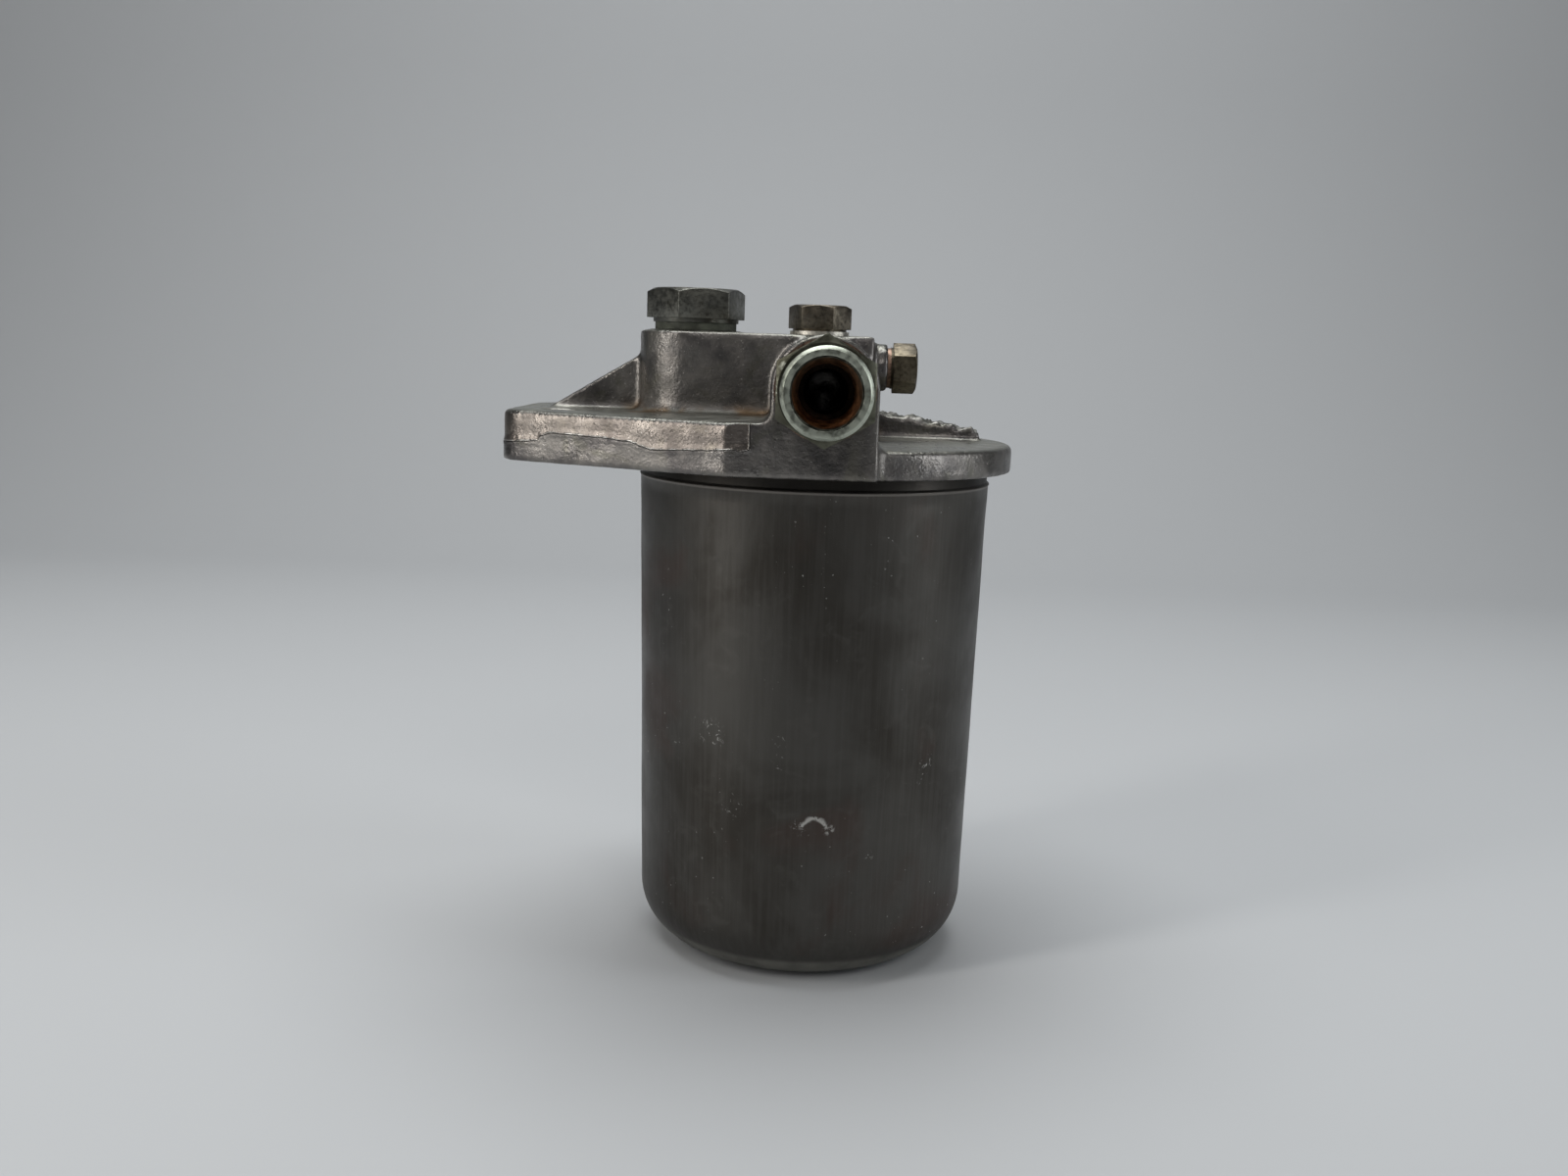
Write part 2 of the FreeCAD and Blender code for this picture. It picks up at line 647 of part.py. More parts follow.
head_casting()
filter_bowl()
bowl_anchor_nut()
ring("bowl_gasket", "groove_inner + gasket_gap", "groove_outer - gasket_gap", "gasket_thickness",
     z="joint + rim_entry")

bolt = hexagon_screw("centre_bolt", "bolt", "bolt_length")
place(bolt, z="bolt_seat")
ring("centre_bolt_washer", "bolt_radius + washer_clearance", "bolt_washer_radius", "bolt_washer_thickness",
     z="tower_top")

plug = hexagon_screw("filler_plug", "plug", "plug_shank_length")
place(plug, x="0 - plug_x", z="plug_seat + plug_washer_thickness")
ring("filler_plug_washer", "plug_radius + washer_clearance", "plug_washer_radius", "plug_washer_thickness",
     x="0 - plug_x", z="plug_seat")

to_right = FreeCAD.Rotation(vector(0, 1, 0), 90)
vent = hexagon_screw("bleed_screw", "vent", "vent_shank_length")
place(vent, "vent_boss_face + vent_washer_thickness", "0 - vent_y", "vent_level", to_right)
ring("bleed_screw_washer", "vent_radius + washer_clearance", "vent_washer_radius",
     "vent_washer_thickness", x="vent_boss_face", y="0 - vent_y", z="vent_level", turn=to_right)

to_front = FreeCAD.Rotation(vector(1, 0, 0), 90)
to_back = FreeCAD.Rotation(vector(1, 0, 0), -90)
for name, side, turn in (("inlet", "0 - ", to_front), ("outlet", "", to_back)):
    pipe_union(name + "_union", side, turn)
    ring(name + "_union_washer", "union_stud_radius + washer_clearance", "union_washer_radius",
         "union_washer_thickness", x="port_x", y=side + "port_face", z="port_level", turn=turn)

ring("element_top_seal", "spigot_radius - top_seal_width", "spigot_radius", "top_seal_thickness",
     z="element_top")
end_cap("element_top_cap", "spigot_radius - top_seal_width", "element_top", "-1")
end_cap("element_bottom_cap", "bolt_radius + plate_gap", "element_bottom", "1")
core_tube()
element_paper()
ring("element_bolt_seal", "bolt_radius + thread_clearance", "bolt_radius + bolt_seal_width",
     "bolt_seal_thickness", z="plate_top")
spring_plate()
element_spring()

document.recompute()

# ---------------------------------------------------------------- checks and files

for item in document.Objects:
    if "Invalid" in item.State or "Error" in item.State:
        raise RuntimeError(f"{item.Name} failed: {item.State}")
solid_kinds = ("PartDesign::Body", "Part::Feature", "Part::Sweep")
parts = [item for item in document.Objects if item.TypeId in solid_kinds]
for part in parts:
    if part.Shape.isNull() or not part.Shape.isValid() or len(part.Shape.Solids) != 1:
        raise RuntimeError(f"{part.Label} is not one valid solid")

os.makedirs("parts", exist_ok=True)
for part in parts:
    part.Shape.exportStep(f"parts/{part.Label}.step")
    box = part.Shape.BoundBox
    print(f"{part.Label:22s} {part.Shape.Volume:10.0f} mm3  z {box.ZMin:7.2f} to {box.ZMax:7.2f}")
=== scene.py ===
"""Looks of a bowl-type fuel filter: an aluminium head with a bracket arm, and a steel bowl below it."""
import math

import bmesh
import bpy
from mathutils import Matrix, Vector, noise


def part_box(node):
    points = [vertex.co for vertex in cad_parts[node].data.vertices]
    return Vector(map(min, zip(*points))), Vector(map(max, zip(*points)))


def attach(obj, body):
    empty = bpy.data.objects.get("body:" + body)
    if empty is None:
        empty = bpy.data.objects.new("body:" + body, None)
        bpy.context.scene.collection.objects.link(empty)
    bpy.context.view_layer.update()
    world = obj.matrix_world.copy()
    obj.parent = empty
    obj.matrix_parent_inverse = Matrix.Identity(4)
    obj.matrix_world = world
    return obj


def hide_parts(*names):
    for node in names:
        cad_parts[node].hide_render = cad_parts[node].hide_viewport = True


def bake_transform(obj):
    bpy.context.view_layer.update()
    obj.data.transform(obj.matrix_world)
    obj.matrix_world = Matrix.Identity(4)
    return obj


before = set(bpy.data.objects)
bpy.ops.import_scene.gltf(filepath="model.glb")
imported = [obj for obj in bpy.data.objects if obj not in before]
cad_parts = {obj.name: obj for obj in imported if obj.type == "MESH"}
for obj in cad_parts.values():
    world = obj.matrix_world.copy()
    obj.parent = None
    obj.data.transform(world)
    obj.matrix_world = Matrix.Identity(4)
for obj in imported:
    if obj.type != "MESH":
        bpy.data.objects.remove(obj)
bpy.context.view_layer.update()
mm = 0.001


# ---------------------------------------------------------------- camera
# A hand-held camera in front of the inlet, level with the head. It looks slightly down and is
# rolled by a degree or two, as a hand holds it.

camera = bpy.data.objects.new("camera", bpy.data.cameras.new("camera"))
bpy.context.scene.collection.objects.link(camera)
camera.data.lens = 33.3
camera.data.sensor_width = 36
camera_tilt = Matrix.Rotation(math.radians(90 - 9.443), 4, "X")
camera_heading = Matrix.Rotation(math.radians(0.387), 4, "Z")
camera_roll = Matrix.Rotation(math.radians(1.934), 4, "Z")
camera_place = Matrix.Translation(Vector((-4.36, -378.3, 156.2)) * mm)
camera.matrix_world = camera_place @ camera_heading @ camera_tilt @ camera_roll
bpy.context.scene.camera = camera


# ---------------------------------------------------------------- studio
# A plain pale sweep under and behind the filter. A soft box hangs overhead, a tall strip stands at the
# left and gives the upright highlights, and a weak one at the right lifts the dark side.

def soft_light(name, place, aim, width, height, watts, colour=(1, 1, 1)):
    lamp = bpy.data.lights.new(name, "AREA")
    lamp.shape = "RECTANGLE"
    lamp.size, lamp.size_y = width, height
    lamp.energy = watts
    lamp.color = colour
    holder = bpy.data.objects.new(name, lamp)
    bpy.context.scene.collection.objects.link(holder)
    heading = (Vector(aim) - Vector(place)).to_track_quat("-Z", "Y")
    holder.matrix_world = Matrix.Translation(place) @ heading.to_matrix().to_4x4()


def piece_from(shape, name, smooth_below=40):
    """Turns a finished bmesh into an object whose place is in its mesh, sharp only past an angle."""
    mesh = bpy.data.meshes.new(name)
    shape.to_mesh(mesh)
    shape.free()
    mesh.polygons.foreach_set("use_smooth", [True] * len(mesh.polygons))
    mesh.set_sharp_from_angle(angle=math.radians(smooth_below))
    piece = bpy.data.objects.new(name, mesh)
    bpy.context.scene.collection.objects.link(piece)
    return piece


backdrop_shape = bmesh.new()
sweep_side = backdrop_shape.verts.new((-5, -6, 0))
sweep_edge = backdrop_shape.verts.new((5, -6, 0))
sweep_line = [sweep_side, sweep_edge, backdrop_shape.edges.new((sweep_side, sweep_edge))]
flat_run = bmesh.ops.extrude_edge_only(backdrop_shape, edges=[sweep_line[2]])["geom"]
floor_end = [item for item in flat_run if isinstance(item, bmesh.types.BMVert)]
bmesh.ops.translate(backdrop_shape, vec=(0, 6.6, 0), verts=floor_end)
bend_start = [item for item in flat_run if isinstance(item, bmesh.types.BMEdge) and
              all(vert in floor_end for vert in item.verts)]
bend = bmesh.ops.spin(backdrop_shape, geom=bend_start + floor_end, cent=(0, 0.6, 0.4), axis=(1, 0, 0),
                      angle=math.radians(90), steps=24)["geom_last"]
top_edge = [item for item in bend if isinstance(item, bmesh.types.BMEdge)]
wall_run = bmesh.ops.extrude_edge_only(backdrop_shape, edges=top_edge)["geom"]
wall_end = [item for item in wall_run if isinstance(item, bmesh.types.BMVert)]
bmesh.ops.translate(backdrop_shape, vec=(0, 0, 1.2), verts=wall_end)
bmesh.ops.recalc_face_normals(backdrop_shape, faces=backdrop_shape.faces)
backdrop = piece_from(backdrop_shape, "studio_sweep", smooth_below=60)
backdrop_paint = bpy.data.materials.new("studio_grey")
backdrop_paint.use_nodes = True
backdrop_shader = backdrop_paint.node_tree.nodes["Principled BSDF"]
backdrop_shader.inputs["Base Color"].default_value = (0.52, 0.53, 0.54, 1)
backdrop_shader.inputs["Roughness"].default_value = 0.7
backdrop.data.materials.append(backdrop_paint)

soft_light("overhead", (-0.1, 0.15, 1.1), (0, 0, 0.1), 1.0, 0.7, 9.5, (0.97, 0.99, 1.0))
soft_light("left_strip", (-0.75, -0.45, 0.45), (0, 0, 0.12), 0.12, 0.8, 3.4, (1.0, 0.98, 0.95))
soft_light("right_fill", (0.8, -0.2, 0.35), (0, 0, 0.12), 0.3, 0.6, 2.0, (0.93, 0.97, 1.0))
soft_light("front_fill", (0.25, -1.0, 0.9), (0, 0, 0.08), 0.4, 0.3, 1.6, (1.0, 0.98, 0.95))

room = bpy.data.worlds.new("room")
room.use_nodes = True
room.node_tree.nodes["Background"].inputs["Color"].default_value = (0.30, 0.31, 0.32, 1)
room.node_tree.nodes["Background"].inputs["Strength"].default_value = 0.34
bpy.context.scene.world = room
bpy.context.scene.view_settings.view_transform = "Standard"


# ---------------------------------------------------------------- head casting
# Die-cast aluminium, grey and dulled by fuel and road dirt. The two halves of its mould left a raised
# seam along the arm's edge, and the low web on the right was broken off roughly from its sprue.

def merged_copy(node):
    """A bmesh of a CAD node with its loose triangles joined up."""
    shape = bmesh.new()
    shape.from_mesh(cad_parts[node].data)
    bmesh.ops.remove_doubles(shape, verts=shape.verts, dist=0.001 * mm)
    bmesh.ops.recalc_face_normals(shape, faces=shape.faces)
    return shape


def with_modifier(piece, kind, **settings):
    """The piece's mesh with one modifier applied."""
    modifier = piece.modifiers.new(kind.lower(), kind)
    for setting, choice in settings.items():
        setattr(modifier, setting, choice)
    ready = piece.evaluated_get(bpy.context.evaluated_depsgraph_get())
    mesh = bpy.data.meshes.new_from_object(ready)
    piece.modifiers.clear()
    piece.data = mesh


def between(number, low, high):
    """0 below low, 1 above high, and a smooth rise between them."""
    share = min(max((number - low) / (high - low), 0), 1)
    return share * share * (3 - 2 * share)


def along(spots, across):
    """The height of a line through the spots at a place across it."""
    for (left, left_height), (right, right_height) in zip(spots, spots[1:]):
        if across <= right:
            share = (across - left) / (right - left)
            return left_height + max(share, 0) * (right_height - left_height)
    return spots[-1][1]


bowl_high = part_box("filter_bowl")[1]
plug_low, plug_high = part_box("filler_plug")
union_low, union_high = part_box("inlet_union")
vent_low, vent_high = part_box("bleed_screw")
plug_x = (plug_low.x + plug_high.x) / 2
port_x, port_z = (union_low.x + union_high.x) / 2, (union_low.z + union_high.z) / 2
vent_y, vent_z = (vent_low.y + vent_high.y) / 2, (vent_low.z + vent_high.z) / 2
flange_base = 126.5 * mm

# In millimetres: levels above the flange's base, and where the tower, the web and the port columns stand.
arm_top, flange_top = 12.5, 6.9
tower_left, tower_right, tower_side = -45.8, 13.6, 14
web_middle, web_side = 9, 5
web_low, web_high = 8.2, 16
column_left, column_front = -13.5, 45

cast_grid = 0.75 * mm
head = piece_from(merged_copy("head_casting"), "head_skin")
with_modifier(head, "REMESH", mode="VOXEL", voxel_size=cast_grid)
head_shape = bmesh.new()
head_shape.from_mesh(head.data)
for _ in range(3):
    bmesh.ops.smooth_vert(head_shape, verts=head_shape.verts, factor=0.5, use_axis_x=True, use_axis_y=True,
                          use_axis_z=True)

# The mould seam climbs along the arm's edge in uneven steps: place along X, height above the flange's base.
seam = [(-78, 4.6), (-67.4, 5.4), (-67.0, 6.5), (-64.2, 7.5), (-50.7, 7.2), (-43.7, 6.7), (-38.8, 5.2),
        (-33.9, 5.4), (-24.4, 6.0), (-15.9, 6.5)]
seam_end = -15.5
seam_height = 0.30
seam_half_width = 0.55
seam_reach = 3.0
setback = 0.22
head_shape.normal_update()
marks = head_shape.verts.layers.float_color.new("cast_marks_and_shade")
for vert in head_shape.verts:
    spot = vert.co / mm
    rise = (vert.co.z - flange_base) / mm
    normal = vert.normal
    upright_face = between(1 - abs(normal.z), 0.45, 0.8)
    bright, stain, grime_and_shade, seam_gap = 0.0, 0.0, 0.0, 0.0
    move = 0.05 * noise.noise(spot * 0.55) + 0.03 * noise.noise(spot * 1.6)

    # seam, and the upper half of the mould set back behind it
    outer_edge = spot.x < -15 and 0 < rise < 13 and abs(normal.z) < 0.6
    if outer_edge and math.hypot(spot.x, spot.y) > 42:
        away = rise - along(seam, spot.x)
        ragged = 0.65 + 0.6 * noise.noise(spot * 0.9)
        ridge = math.exp(-(away / seam_half_width) ** 2) * ragged
        move += seam_height * ridge - setback * between(away, 0, 0.8) * upright_face
        seam_gap = between(away, -seam_reach, seam_reach)
    if abs(spot.x - seam_end) < 2.5 and 6 < rise < 12.4 and abs(normal.y) > 0.6 and abs(spot.y) > 45:
        ridge = math.exp(-((spot.x - seam_end) / 0.45) ** 2)
        move += 0.8 * seam_height * ridge
        seam_gap = between(seam_end - spot.x, -seam_reach, seam_reach)

    # broken top of the web on the right
    if spot.x > 15 and abs(spot.y - web_middle) < web_side and web_low < rise < web_high:
        crumbled = between(normal.z, 0.1, 0.7) * between(spot.x, 15, 18)
        move += crumbled * (1.1 * noise.noise(spot * 0.42) + 0.6 * noise.noise(spot * 1.1) - 0.25)
        bright = max(bright, crumbled * between(noise.noise(spot * 0.8), 0.05, 0.45))
        grime_and_shade = max(grime_and_shade, crumbled * between(-noise.noise(spot * 0.7), -0.1, 0.3))

    # brown stains in the corners round the tower's foot, and painted shade darkening those corners
    foot = arm_top if spot.x < port_x / mm - 10 else flange_top
    from_tower = max(abs(spot.y) - tower_side, 0) + max(tower_left - spot.x, 0) + max(spot.x - tower_right, 0)
    corner = math.exp(-((rise - foot) / 2.4) ** 2) * math.exp(-(from_tower / 5.0) ** 2)
    stain = corner * between(noise.noise(spot * 0.11) + 0.5 * noise.noise(spot * 0.4), -0.35, 0.4)
    grime_and_shade = max(grime_and_shade, 0.55 * corner)

    # the upright fronts of the tower and the port columns, darkened by painted shade on faces turned forward
    # and back
    on_tower = abs(spot.y) < 15 and -46 < spot.x < tower_right and rise > foot
    on_column = 0
    if abs(spot.y) > column_front and spot.x < tower_right:
        on_column = between(spot.x, column_left, -8) * between(rise, 0, 2)
    upright_front_shade = between(abs(normal.y), 0.5, 0.9) * between(noise.noise(spot * 0.08), -0.5, 0.3)
    grime_and_shade = max(grime_and_shade, 0.42 * upright_front_shade * max(on_tower, on_column))
    vert[marks] = (bright, stain, grime_and_shade, seam_gap)
    vert.co += normal * move * mm


def clear_round(shape, centre, axis, radius, low, high, reach=1.2 * mm):
    """Brings the wall of a drilled hole back to its size, between two places along its axis."""
    centre, axis = Vector(centre), Vector(axis)
    for vert in shape.verts:
        offset = vert.co - centre
        run = offset.dot(axis)
        out = offset - axis * run
        if low < run < high and radius - reach < out.length < radius:
            vert.co += out.normalized() * (radius - out.length)


# Each hole's middle, axis, radius, and the two places that it is cleared between.
hole_room = 0.12
middle = (0, 0, 0)
upward = (0, 0, 1)
holes = {
    "bolt": (middle, upward, 4.3, 150, 159),
    "clean_bore": (middle, upward, 9.0, 119, 152),
    "filler": ((plug_x, 0, 0), upward, 8.3, 137, 159),
    "bleed": ((0, vent_y, vent_z), (1, 0, 0), 3.05, 9, 17),
    "inlet": ((port_x, 0, port_z), (0, -1, 0), 8.05, 39, 50.2),
    "outlet": ((port_x, 0, port_z), (0, 1, 0), 8.05, 39, 50.2),
}
for centre, axis, radius, low, high in holes.values():
    clear_round(head_shape, centre, axis, (radius + hole_room) * mm, low * mm, high * mm)
head_mesh = bpy.data.meshes.new("head_skin")
head_shape.to_mesh(head_mesh)
head_shape.free()
head.data = head_mesh
most_triangles = 190000
triangles = sum(len(polygon.vertices) - 2 for polygon in head.data.polygons)
if triangles > most_triangles:
    with_modifier(head, "DECIMATE", ratio=most_triangles / triangles)
head.data.polygons.foreach_set("use_smooth", [True] * len(head.data.polygons))


def socket(shader, name, amount):
    shader.inputs[name].default_value = amount


class Finish:
    """Builds one material from layers, all of them on the piece's own coordinates in millimetres."""

    def __init__(self, name, metallic=1.0, specular=0.5):
        self.material = bpy.data.materials.new(name)
        self.material.use_nodes = True
        self.tree = self.material.node_tree
        self.shader = self.tree.nodes["Principled BSDF"]
        socket(self.shader, "Metallic", metallic)
        socket(self.shader, "Specular IOR Level", specular)
        self.places = self.tree.nodes.new("ShaderNodeTexCoord").outputs["Object"]
        self.bumps = None

    def add(self, kind, **values):
        made = self.tree.nodes.new("ShaderNode" + kind)
        for name, setting in values.items():
            setattr(made, name, setting)
        return made

    def link(self, source, target):
        if isinstance(source, (int, float)):
            target.default_value = source
        elif isinstance(source, tuple):
            target.default_value = (*source, 1)
        else:
            self.tree.links.new(source, target)

    def stretched(self, stretch):
        """Coordinates in millimetres, drawn out along the axes where stretch is above 1."""
        mapping = self.add("Mapping")
        self.link(self.places, mapping.inputs["Vector"])
        mapping.inputs["Scale"].default_value = [1 / (mm * share) for share in stretch]
        return mapping.outputs["Vector"]

    def clouds(self, size, detail=3, stretch=(1, 1, 1), distortion=0):
        """Noise with features of about that many millimetres."""
        made = self.add("TexNoise")
        self.link(self.stretched(stretch), made.inputs["Vector"])
        socket(made, "Scale", 1 / size)
        socket(made, "Detail", detail)
        socket(made, "Distortion", distortion)
        return made.outputs["Fac"]

    def pits(self, size, stretch=(1, 1, 1)):
        """Distance to the middle of the nearest pit."""
        made = self.add("TexVoronoi")
        self.link(self.stretched(stretch), made.inputs["Vector"])
        socket(made, "Scale", 1 / size)
        return made.outputs["Distance"]

    def ramp(self, source, low, high, start=0.0, end=1.0):
        """Start below low, end above high."""
        made = self.add("MapRange", interpolation_type="SMOOTHSTEP")
        self.link(source, made.inputs["Value"])
        for name, amount in zip(("From Min", "From Max", "To Min", "To Max"), (low, high, start, end)):
            socket(made, name, amount)
        return made.outputs["Result"]

    def combine(self, first, second, operation="MULTIPLY"):
        """The product of two values, or another operation on them."""
        made = self.add("Math", operation=operation)
        self.link(first, made.inputs[0])
        self.link(second, made.inputs[1])
        return made.outputs[0]

    def mix(self, share, first, second, way="MIX"):
        made = self.add("Mix", data_type="RGBA", blend_type=way)
        self.link(share, made.inputs[0])
        self.link(first, made.inputs[6])
        self.link(second, made.inputs[7])
        return made.outputs[2]

    def edges(self, low, high):
        """1 on raised edges."""
        return self.ramp(self.add("NewGeometry").outputs["Pointiness"], low, high)

    def bump(self, height, depth):
        """Adds relief that stands depth millimetres proud where height is 1."""
        made = self.add("Bump")
        socket(made, "Distance", depth * mm)
        self.link(height, made.inputs["Height"])
        if self.bumps:
            self.tree.links.new(self.bumps, made.inputs["Normal"])
        self.bumps = made.outputs["Normal"]
        self.tree.links.new(self.bumps, self.shader.inputs["Normal"])

    def colour(self, source):
        self.link(source, self.shader.inputs["Base Color"])

    def roughness(self, source):
        self.link(source, self.shader.inputs["Roughness"])


def cast_aluminium():
    look = Finish("cast_aluminium")
    patches = look.ramp(look.clouds(22, 4, distortion=0.6), 0.35, 0.68)
    body = look.mix(patches, (0.105, 0.098, 0.097), (0.235, 0.222, 0.205))
    mottle = look.ramp(look.clouds(3.2, 5), 0.35, 0.7)
    body = look.mix(look.combine(mottle, 0.4), body, (0.31, 0.285, 0.262))
    olive = look.ramp(look.clouds(9, 4, distortion=1.0), 0.5, 0.72)
    body = look.mix(look.combine(olive, 0.4), body, (0.150, 0.145, 0.105))
    facing = look.add("SeparateXYZ")
    look.link(look.add("NewGeometry").outputs["Normal"], facing.inputs[0])
    # painted light: faces turned upward are lightened, as the overhead lamp falls on them
    lit_tops = look.ramp(facing.outputs["Z"], 0.5, 0.95)
    body = look.mix(look.combine(lit_tops, 0.55), body, (0.24, 0.245, 0.205))
    painted = look.add("Attribute", attribute_name="cast_marks_and_shade")
    split = look.add("SeparateColor")
    look.link(painted.outputs["Color"], split.inputs[0])
    wander = look.combine(look.combine(look.clouds(1.7, 3), 0.09), painted.outputs["Alpha"], "ADD")
    # painted highlight: a thin light line along the mould seam's ridge, also used as the ridge's bump
    above = look.combine(look.ramp(wander, 0.535, 0.56), look.ramp(wander, 0.58, 0.63, 1, 0))
    seam_ridge_highlight = look.combine(above, look.ramp(look.clouds(2.6, 4), 0.34, 0.62))
    # painted shadow: a dark band just under the mould seam's ridge, also used as a dip in the bump
    under = look.combine(look.ramp(wander, 0.47, 0.50), look.ramp(wander, 0.52, 0.545, 1, 0))
    upper_half = look.combine(look.ramp(wander, 0.545, 0.60), look.ramp(facing.outputs["Z"], 0.3, 0.7, 1, 0))
    body = look.mix(look.combine(upper_half, 0.45), body, (0.235, 0.195, 0.165))
    worn = look.edges(0.53, 0.62)
    worn = look.combine(worn, look.ramp(look.clouds(1.4, 4), 0.42, 0.66, 0, 0.4))
    # edge wear, the fresh break of the web and the painted highlight on the seam ridge lighten the colour
    wear_and_highlight = look.combine(look.combine(worn, split.outputs["Red"], "MAXIMUM"), seam_ridge_highlight, "MAXIMUM")
    # grime on the broken web, with painted shade in the tower's corners, on its upright fronts and under the
    # seam
    dark_grime_and_shade = look.combine(split.outputs["Blue"], look.combine(under, 0.95), "MAXIMUM")
    body = look.mix(look.combine(dark_grime_and_shade, 0.85), body, (0.022, 0.020, 0.018))
    body = look.mix(look.combine(split.outputs["Green"], 0.85), body, (0.120, 0.070, 0.030))
    body = look.mix(look.combine(wear_and_highlight, 0.75), body, (0.66, 0.64, 0.60))
    flecks = look.ramp(look.clouds(0.55, 2), 0.66, 0.76)
    look.colour(look.mix(look.combine(flecks, 0.5), body, (0.62, 0.60, 0.56)))
    wear = look.ramp(look.clouds(6, 5), 0.3, 0.7, 0.26, 0.46)
    look.roughness(look.combine(wear, look.combine(split.outputs["Blue"], 0.3), "ADD"))
    look.bump(look.clouds(0.75, 5), 0.13)
    look.bump(look.clouds(4.5, 3), 0.18)
    look.bump(look.combine(seam_ridge_highlight, look.combine(under, -1.0), "ADD"), 0.22)
    look.bump(look.ramp(look.pits(2.6), 0.06, 0.16), 0.05)
    return look.material


head.data.materials.append(cast_aluminium())
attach(head, "head")
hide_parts("head_casting")


# ---------------------------------------------------------------- filter bowl
# One drawn steel cup with a round bottom corner, blackened, and rubbed to a satin grey by handling. A
# sized band at its rim goes up into the head's groove, with a thin rolled bead just below it.

bowl_radius = bowl_high.x
bowl_top = bowl_high.z
wall = 1.2 * mm
foot_radius = 42.8 * mm
corner = 15 * mm
band_level = flange_base - 2.8 * mm
band_radius = bowl_radius - 0.4 * mm


def cup_profile(inset, top):
    """Half section of the cup from the middle of its base up to the rim, moved in by the inset."""
    wall_lean = (bowl_radius - foot_radius) / (band_level - 0.4 * mm)
    turn_angle = math.pi / 2 - math.atan(wall_lean)
    radius = corner - inset
    centre = Vector((foot_radius + wall_lean * corner - corner * math.hypot(1, wall_lean), 0, corner))
    spots = [Vector((centre.x * share, 0, inset)) for share in (0, 0.15, 0.4, 0.7)]
    steps = 14
    for step in range(steps + 1):
        turn = turn_angle * step / steps
        spots.append(centre + radius * Vector((math.sin(turn), 0, -math.cos(turn))))
    start, end = spots[-1], Vector((bowl_radius - inset, 0, band_level - 0.9 * mm))
    rows = 34
    for row in range(1, rows + 1):
        spots.append(start.lerp(end, row / rows))
    bead = 0.25 * mm if inset == 0 else 0
    spots.append(Vector((bowl_radius - inset + bead, 0, band_level - 0.55 * mm)))
    spots.append(Vector((bowl_radius - inset + bead * 0.5, 0, band_level - 0.25 * mm)))
    spots.append(Vector((band_radius - inset + bead * 0.3, 0, band_level)))
    spots.append(Vector((band_radius - inset, 0, band_level + 0.3 * mm)))
    spots.append(Vector((band_radius - inset, 0, top)))
    return spots


bowl_shape = bmesh.new()
outside = [bowl_shape.verts.new(spot) for spot in cup_profile(0, bowl_top)]
inside = [bowl_shape.verts.new(spot) for spot in cup_profile(wall, bowl_top)]
bowl_line = outside + inside[::-1]
bowl_edges = [bowl_shape.edges.new(pair) for pair in zip(bowl_line, bowl_line[1:])]
bmesh.ops.spin(bowl_shape, geom=bowl_line + bowl_edges, axis=(0, 0, 1), cent=(0, 0, 0), angle=2 * math.pi,
               steps=160, use_merge=True)
bmesh.ops.remove_doubles(bowl_shape, verts=bowl_shape.verts, dist=0.005 * mm)
bmesh.ops.recalc_face_normals(bowl_shape, faces=bowl_shape.faces)
for vert in bowl_shape.verts:
    away = math.hypot(vert.co.x, vert.co.y)
    if 8 * mm < vert.co.z < band_level - 4 * mm and away > 0:
        ease = between(vert.co.z / mm, 8, 16) * between((band_level - vert.co.z) / mm, 4, 10)
        dent = 0.13 * noise.noise(vert.co / mm * 0.035) + 0.05 * noise.noise(vert.co / mm * 0.11)
        vert.co -= Vector((vert.co.x, vert.co.y, 0)) / away * ease * (0.08 + dent) * mm
bowl = piece_from(bowl_shape, "bowl_shell", smooth_below=50)


def scuffs(look):
    """Bright rubs on the front of the cup: place across, height, reach, and how ragged each one is."""
    rubs = [(-6.5, 63.1, 2.2, 0.60), (-23.3, 63.2, 4.6, 0.57), (-17.4, 45.7, 4.0, 0.60),
            (-1.3, 42.2, 2.6, 0.56), (6.2, 41.8, 2.0, 0.52), (-6.4, 58.3, 2.4, 0.60),
            (16.5, 34.7, 1.8, 0.50), (30.2, 54.6, 5.0, 0.62), (-32.5, 59.3, 3.2, 0.60)]
    ragged = look.clouds(2.1, 5, distortion=2.6)
    total = 0.0
    for across, up, reach, least in rubs:
        depth = -math.sqrt((bowl_radius / mm) ** 2 - across ** 2) + 1.0
        gap = look.add("VectorMath", operation="DISTANCE")
        look.link(look.stretched((1, 1, 1)), gap.inputs[0])
        gap.inputs[1].default_value = (across, depth, up)
        near = look.ramp(gap.outputs["Value"], reach * 0.3, reach, 1, 0)
        total = look.combine(total, look.combine(near, look.ramp(ragged, least, least + 0.12)), "MAXIMUM")
    bow = look.add("VectorMath", operation="DISTANCE")
    look.link(look.stretched((1, 1, 1)), bow.inputs[0])
    bow.inputs[1].default_value = (2.6, -bowl_radius / mm + 0.3, 41.4)
    radius = look.combine(bow.outputs["Value"], look.combine(look.clouds(2.5, 4), 1.6), "ADD")
    arc = look.combine(look.ramp(radius, 3.7, 4.1), look.ramp(radius, 4.3, 5.0, 1, 0))
    height = look.add("SeparateXYZ")
    look.link(look.stretched((1, 1, 1)), height.inputs[0])
    arc = look.combine(arc, look.ramp(height.outputs["Z"], 41.4, 42.6))
    return look.combine(total, look.combine(arc, look.ramp(ragged, 0.36, 0.52)), "MAXIMUM")


